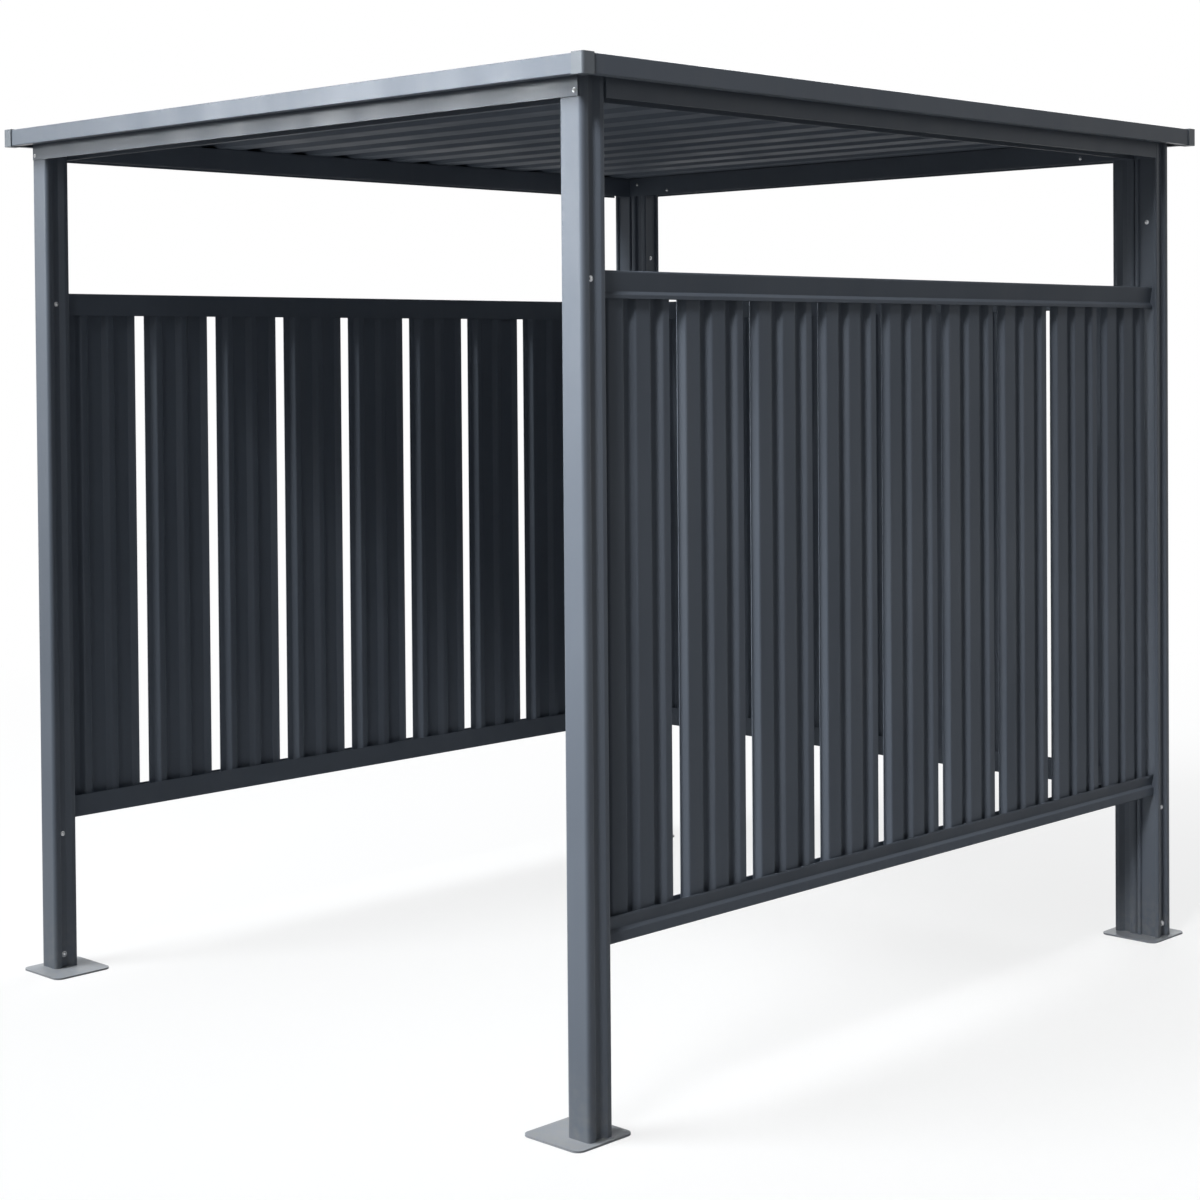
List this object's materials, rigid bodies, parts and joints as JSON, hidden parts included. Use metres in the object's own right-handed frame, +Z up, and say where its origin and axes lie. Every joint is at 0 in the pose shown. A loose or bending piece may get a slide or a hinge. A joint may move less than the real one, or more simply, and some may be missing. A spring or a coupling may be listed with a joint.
{
  "type": "bike shelter",
  "caption": "Flat-roofed bike shelter of anthracite folded steel with ribbed slatted walls on three sides and an open front.",
  "frame": {"origin": "on the ground, under the middle of the roof", "axes": "+X to the right along the open front, +Y from the open front to the rear wall, +Z up"},
  "size_m": [1.93, 2.16, 2],
  "materials": {
    "anthracite_steel": "satin",
    "grey_steel": "satin",
    "grey_plastic": "matte"
  },
  "bodies": {
    "root": {"base_plate_front_left": "grey_steel", "base_plate_front_right": "grey_steel", "base_plate_rear_left": "grey_steel", "base_plate_rear_right": "grey_steel", "front_left_post": "anthracite_steel", "front_right_post": "anthracite_steel", "rear_left_side_post": "anthracite_steel", "rear_right_side_post": "anthracite_steel", "rear_left_back_post": "anthracite_steel", "rear_right_back_post": "anthracite_steel", "front_beam": "anthracite_steel", "rear_beam": "anthracite_steel", "left_beam": "anthracite_steel", "right_beam": "anthracite_steel", "left_wall_top_rail": "anthracite_steel", "left_wall_bottom_rail": "anthracite_steel", "left_wall_panels": "anthracite_steel", "right_wall_top_rail": "anthracite_steel", "right_wall_bottom_rail": "anthracite_steel", "right_wall_panels": "anthracite_steel", "rear_wall_top_rail": "anthracite_steel", "rear_wall_bottom_rail": "anthracite_steel", "rear_wall_panels": "anthracite_steel", "roof_sheets_front": "anthracite_steel", "roof_sheets_middle": "anthracite_steel", "roof_sheets_rear": "anthracite_steel", "front_fascia": "anthracite_steel", "rear_fascia": "anthracite_steel", "left_fascia": "anthracite_steel", "right_fascia": "anthracite_steel", "front_left_corner_cap": "grey_plastic", "front_right_corner_cap": "grey_plastic", "rear_left_corner_cap": "grey_plastic", "rear_right_corner_cap": "grey_plastic"}
  },
  "joints": []
}
